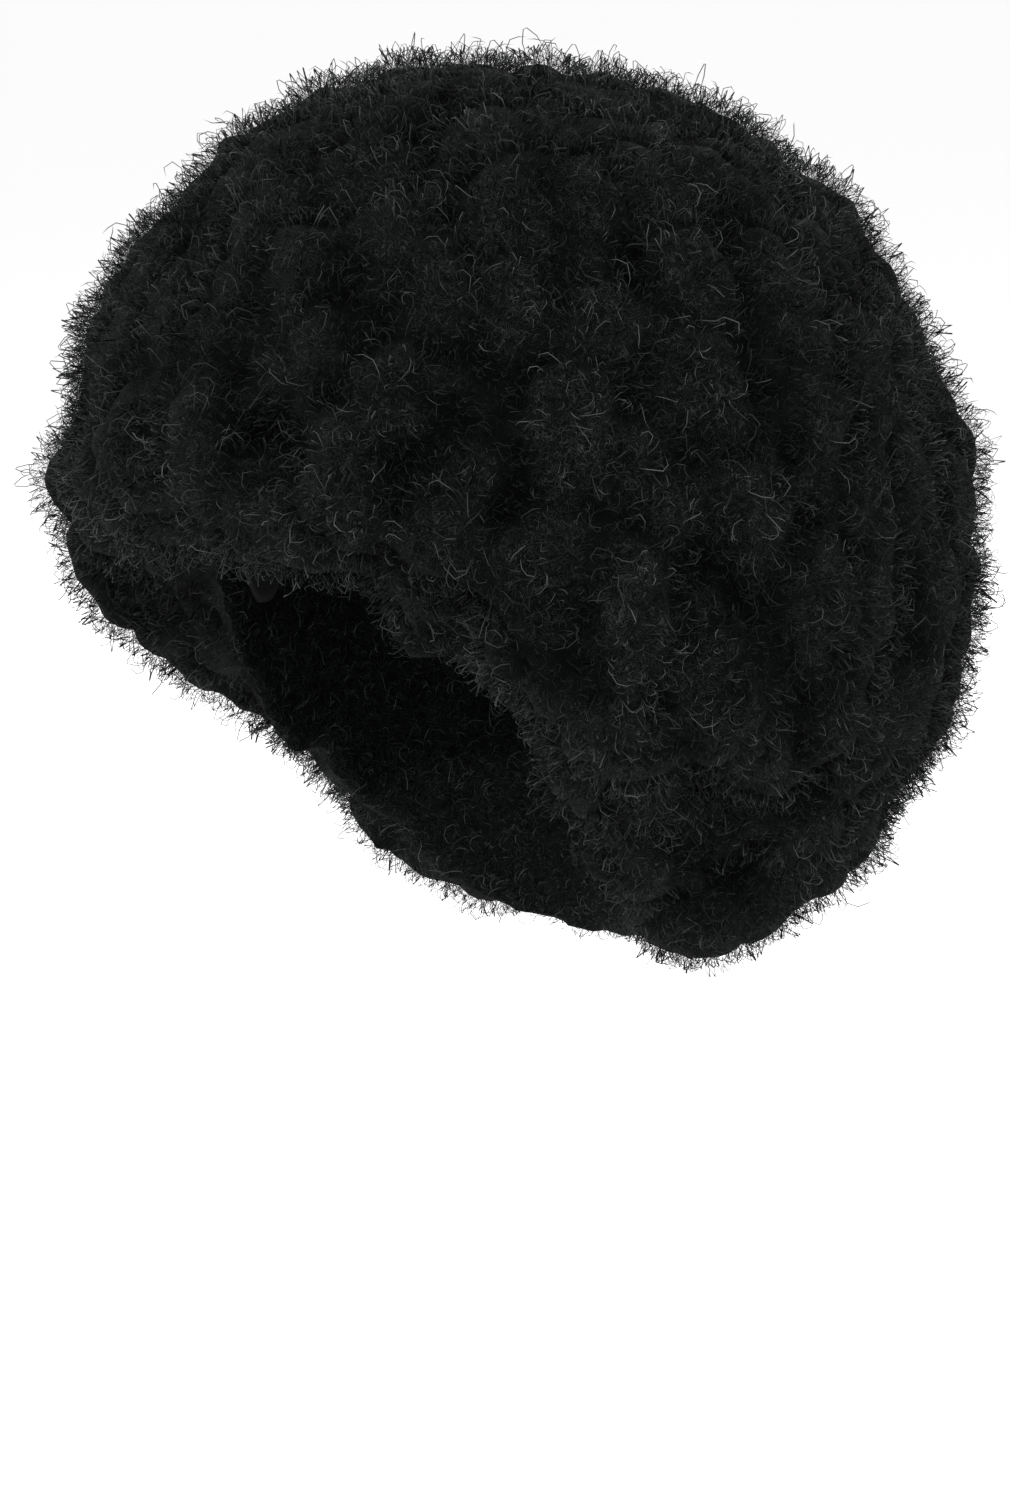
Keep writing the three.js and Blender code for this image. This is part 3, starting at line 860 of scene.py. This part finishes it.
hemFinish = {"dark": (0.002, 0.002, 0.0022, 1), "light": (0.020, 0.020, 0.0215, 1), "pitch": 0.0020,
             "knit": 0.7, "fuzzPerMetre": 700.0, "leastFuzz": 0.3,
             "roughness": 0.8, "specular": 0.12, "bump": 0.0003, "bumpStrength": 0.8}
threadFinish = {"dark": (0.012, 0.012, 0.013, 1), "light": (0.045, 0.045, 0.048, 1), "twistsPerMetre": 2600,
                "roughness": 0.55, "specular": 0.25}


def netMaterial(finish):
    # open diamonds of fine yarn
    material, nodes, shader = newMaterial("cap net")
    uv = nodes.add("ShaderNodeSeparateXYZ", {0: nodes.add("ShaderNodeUVMap", uv_map="net").outputs[0]})
    yarn = 0.0
    for operation in ("ADD", "SUBTRACT"):
        across = nodes.math(operation, uv.outputs["X"], uv.outputs["Y"])
        wave = nodes.math("SINE", nodes.math("MULTIPLY", across, math.pi / finish["pitch"]))
        line = nodes.math("SUBTRACT", 1.0, nodes.math("ABSOLUTE", wave))
        yarn = nodes.math("MAXIMUM", nodes.math("POWER", line, finish["sharpness"]), yarn)
    place = nodes.add("ShaderNodeTexCoord").outputs["Object"]
    fuzz = nodes.math("ADD", nodes.noise(place, finish["fuzzPerMetre"])["Fac"], finish["leastFuzz"])
    twoColours(nodes, shader, nodes.math("MULTIPLY", yarn, fuzz), finish)
    raised(nodes, shader, yarn, finish)
    return material


def hemMaterial(finish):
    # ribbed elastic tape, with its ribs along the edge
    material, nodes, shader = newMaterial("cap tape")
    uv = nodes.add("ShaderNodeSeparateXYZ", {0: nodes.add("ShaderNodeUVMap", uv_map="tape").outputs[0]})
    rib = nodes.math("SINE", nodes.math("MULTIPLY", uv.outputs["Y"], math.tau / finish["pitch"]))
    knitPitch = finish["knit"] * finish["pitch"]
    knit = nodes.math("SINE", nodes.math("MULTIPLY", uv.outputs["X"], math.tau / knitPitch))
    weave = nodes.math("MULTIPLY", nodes.math("ADD", nodes.math("MULTIPLY", rib, knit), 1.0), 0.5)
    place = nodes.add("ShaderNodeTexCoord").outputs["Object"]
    fuzz = nodes.math("ADD", nodes.noise(place, finish["fuzzPerMetre"])["Fac"], finish["leastFuzz"])
    twoColours(nodes, shader, nodes.math("MULTIPLY", weave, fuzz), finish)
    raised(nodes, shader, weave, finish)
    return material


def threadMaterial(finish):
    material, nodes, shader = newMaterial("cap thread")
    place = nodes.add("ShaderNodeTexCoord").outputs["Object"]
    twist = nodes.add("ShaderNodeTexNoise", {"Vector": place, "Scale": finish["twistsPerMetre"]})
    twoColours(nodes, shader, twist.outputs["Fac"], finish)
    return material


def edgeLine(table, steps):
    # a smooth curve through the table's points
    rows = np.array(table)
    padded = np.vstack([rows[:1], rows, rows[-1:]])
    t = np.linspace(0, 1, steps, endpoint=False)[:, None]
    line = []
    for before, start, end, after in zip(padded, padded[1:], padded[2:], padded[3:]):
        leave, arrive = (end - before) / 2, (after - start) / 2
        line.append((2 * t ** 3 - 3 * t ** 2 + 1) * start + (t ** 3 - 2 * t ** 2 + t) * leave
                    + (3 * t ** 2 - 2 * t ** 3) * end + (t ** 3 - t ** 2) * arrive)
    return np.vstack(line + [rows[-1:]])


def onHead(turn, drop, offset):
    # a place on the form under the cap: turn goes round it, and drop goes down from the crown
    height = np.where(np.cos(drop) > 0, headForm["crownHeight"], headForm["lowerHeight"]) + offset
    across = (headForm["halfWidth"] + offset) * np.sin(drop) * np.cos(turn)
    along = (headForm["halfLength"] + offset) * np.sin(drop) * np.sin(turn)
    return np.stack(np.broadcast_arrays(across, along, height * np.cos(drop)), -1)


def edgeDrops(look, turns):
    # how far down the cap reaches, all the way round
    line = edgeLine(look["edge"], look["edgeSteps"])
    drops = np.linspace(look["dropFrom"], look["dropTo"], look["dropSteps"])
    places = onHead(turns[:, None], drops[None, :], 0.0)
    below = places[:, :, 2] < np.interp(places[:, :, 1], line[:, 0], line[:, 1])
    return drops[below.argmax(1)]


def capShell(look):
    count, rows = look["around"], look["rows"]
    turns = np.arange(count) * math.tau / count
    ends = edgeDrops(look, turns)
    radius = 0.5 * (headForm["halfWidth"] + headForm["halfLength"])
    points, drops = [], []
    for j in range(1, rows + 1):
        drop = ends * j / rows
        fromEdge = (ends - drop) * radius
        tape = np.abs((fromEdge - look["hemWidth"]) % look["tapeGap"] - look["tapeGap"] / 2)
        flat, foot = look["tapeFlat"] * look["tapeWidth"], look["tapeFoot"] * look["tapeWidth"]
        onTape = 1 - smoothStep(tape, flat, foot)
        onTape *= smoothStep(drop * radius, look["crownBare"], look["crownTaped"])
        onHem = 1 - smoothStep(fromEdge, look["hemFlat"] * look["hemWidth"], look["hemWidth"])
        tapeRise = onTape * look["tapeHeight"] * (fromEdge > look["hemWidth"])
        proud = np.maximum(tapeRise, onHem * look["hemHeight"])
        points.append(onHead(turns, drop, look["inner"] - proud))
        drops.append(drop)
    for j in range(look["outerRows"], 0, -1):
        drop = ends * j / look["outerRows"]
        points.append(onHead(turns, drop, look["outer"]))
        drops.append(drop)
    rings = len(points)
    poles = [onHead(0.0, 0.0, look[wall])[None] for wall in ("inner", "outer")]
    points = np.vstack(points + poles)
    faces, hem = [], []
    for k in range(count):
        n = (k + 1) % count
        faces.append((rings * count, n, k))
        hem.append(0)
        for j in range(rings - 1):
            upper, lower = j * count, (j + 1) * count
            faces.append((upper + k, upper + n, lower + n, lower + k))
            hem.append(int(j < rows and (1 - (j + 0.5) / rows) * ends[k] * radius < look["hemWidth"]))
        last = (rings - 1) * count
        faces.append((rings * count + 1, last + k, last + n))
        hem.append(0)
    mesh = meshFrom("cap", points, faces)
    mesh.polygons.foreach_set("material_index", np.array(hem, np.int32))
    flatDrop = np.concatenate(drops + [np.zeros(2)])
    flatTurn = np.concatenate([np.tile(turns, rings), np.zeros(2)])
    flatEnd = np.concatenate([np.tile(ends, rings), np.full(2, ends.mean())])
    corners = np.empty(len(mesh.loops), np.int32)
    mesh.loops.foreach_get("vertex_index", corners)
    facesOf = np.repeat(np.arange(len(mesh.polygons)), [p.loop_total for p in mesh.polygons])
    column = np.array([f // (rings + 1) for f in range(len(mesh.polygons))])[facesOf]
    turn, drop = flatTurn[corners], flatDrop[corners]
    turn = np.where((column == count - 1) & (turn < 1), turn + math.tau, turn)  # the seam's last corners
    flatMaps = {
        "net": (drop * np.cos(turn), drop * np.sin(turn)),
        "tape": (turn, flatEnd[corners] - drop),
    }
    for name, uv in flatMaps.items():
        layer = mesh.uv_layers.new(name=name)
        layer.uv.foreach_set("vector", (radius * np.stack(uv, 1)).astype(np.float32).ravel())
    mesh.shade_smooth()
    return mesh, turns, ends - 0.5 * look["hemWidth"] / radius


def stitchMesh(look):
    # a short thread that dips into the cloth at both ends
    half, thick, sides = look["stitchLength"] / 2, look["stitchWidth"], look["stitchSides"]
    # place along the thread, thickness there and height over the cloth
    rings = [(-1, 0.35, -0.4), (-0.6, 1, 0.35), (0.6, 1, 0.35), (1, 0.35, -0.4)]
    points, faces = [], []
    for along, size, height in rings:
        for k in range(sides):
            angle = math.tau * k / sides
            points.append((along * half, 0.5 * thick * size * math.cos(angle),
                           thick * (height + 0.5 * size * math.sin(angle))))
    for j in range(len(rings) - 1):
        here, there = sides * j, sides * (j + 1)
        for k in range(sides):
            n = (k + 1) % sides
            faces.append((here + k, there + k, there + n, here + n))
    last = len(points) - 1
    faces += [tuple(range(sides)), tuple(range(last, last - sides, -1))]
    mesh = meshFrom("stitch", points, faces)
    mesh.shade_smooth()
    return mesh


def stitchTree():
    # slanted stitches along the loose edges of the input, which stand for the sewing line
    tree, nodes, given = newTree("stitches", [
        ("Geometry", "Geometry", None), ("Stitch", "Object", None), ("Thread", "Material", None),
        ("Gap", "Float", 0.004), ("Slant", "Float", 0.6),
    ])
    line = nodes.add("GeometryNodeMeshToCurve", {"Mesh": given["Geometry"]})
    even = nodes.add("GeometryNodeResampleCurve", {"Curve": line.outputs[0], "Length": given["Gap"]},
                     mode="LENGTH")
    along = nodes.add("GeometryNodeInputTangent").outputs[0]
    upright = nodes.add("FunctionNodeAxesToRotation", {"Primary Axis": named(nodes, "inward", "FLOAT_VECTOR"),
                        "Secondary Axis": along}, primary_axis="Z", secondary_axis="X")
    odd = nodes.math("MODULO", nodes.add("GeometryNodeInputIndex").outputs[0], 2.0)
    side = nodes.math("SUBTRACT", nodes.math("MULTIPLY", odd, 2.0), 1.0)
    slant = nodes.add("ShaderNodeCombineXYZ", {"Z": nodes.math("MULTIPLY", side, given["Slant"])})
    turned = nodes.add("FunctionNodeRotateRotation", {
        "Rotation": upright.outputs[0],
        "Rotate By": nodes.add("FunctionNodeEulerToRotation", {"Euler": slant.outputs[0]}).outputs[0],
    }, rotation_space="LOCAL")
    shape = nodes.add("GeometryNodeObjectInfo", {"Object": given["Stitch"]})
    placed = nodes.add("GeometryNodeInstanceOnPoints", {
        "Points": even.outputs[0], "Instance": shape.outputs["Geometry"], "Rotation": turned.outputs[0]})
    real = nodes.add("GeometryNodeRealizeInstances", {"Geometry": placed.outputs[0]})
    painted = nodes.add("GeometryNodeSetMaterial", {"Geometry": real.outputs[0], "Material": given["Thread"]})
    nodes.add("NodeGroupOutput", {"Geometry": painted.outputs[0]})
    return tree


def sewingLine(look, turns, drops):
    points = onHead(turns, drops, look["inner"] - look["hemHeight"])
    inward = onHead(turns, drops, look["inner"] - look["hemHeight"] - 0.001) - points  # a millimetre inwards
    mesh = bpy.data.meshes.new("sewing line")
    count = len(points)
    mesh.from_pydata([tuple(p) for p in points], [(k, (k + 1) % count) for k in range(count)], [])
    setAttribute(mesh, "inward", "FLOAT_VECTOR", "POINT", inward * 1000)
    return mesh


capMesh, capTurns, sewnDrops = capShell(cap)
capMesh.materials.append(netMaterial(netFinish))
capMesh.materials.append(hemMaterial(hemFinish))
capCloth = addObject("cap_cloth", capMesh)
stitch = bpy.data.objects.new("stitch", stitchMesh(cap))
sewing = addObject("cap_stitches", sewingLine(cap, capTurns, sewnDrops))
threads = runTree(sewing, stitchTree(), {"Stitch": stitch, "Thread": threadMaterial(threadFinish),
                  "Gap": cap["stitchGap"], "Slant": cap["stitchSlant"]}, ("inward",))
for piece in (capCloth, sewing):
    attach(piece, "root")
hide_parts("cap")
print("cap", triangleCount(capMesh), "triangles, stitches", threads)
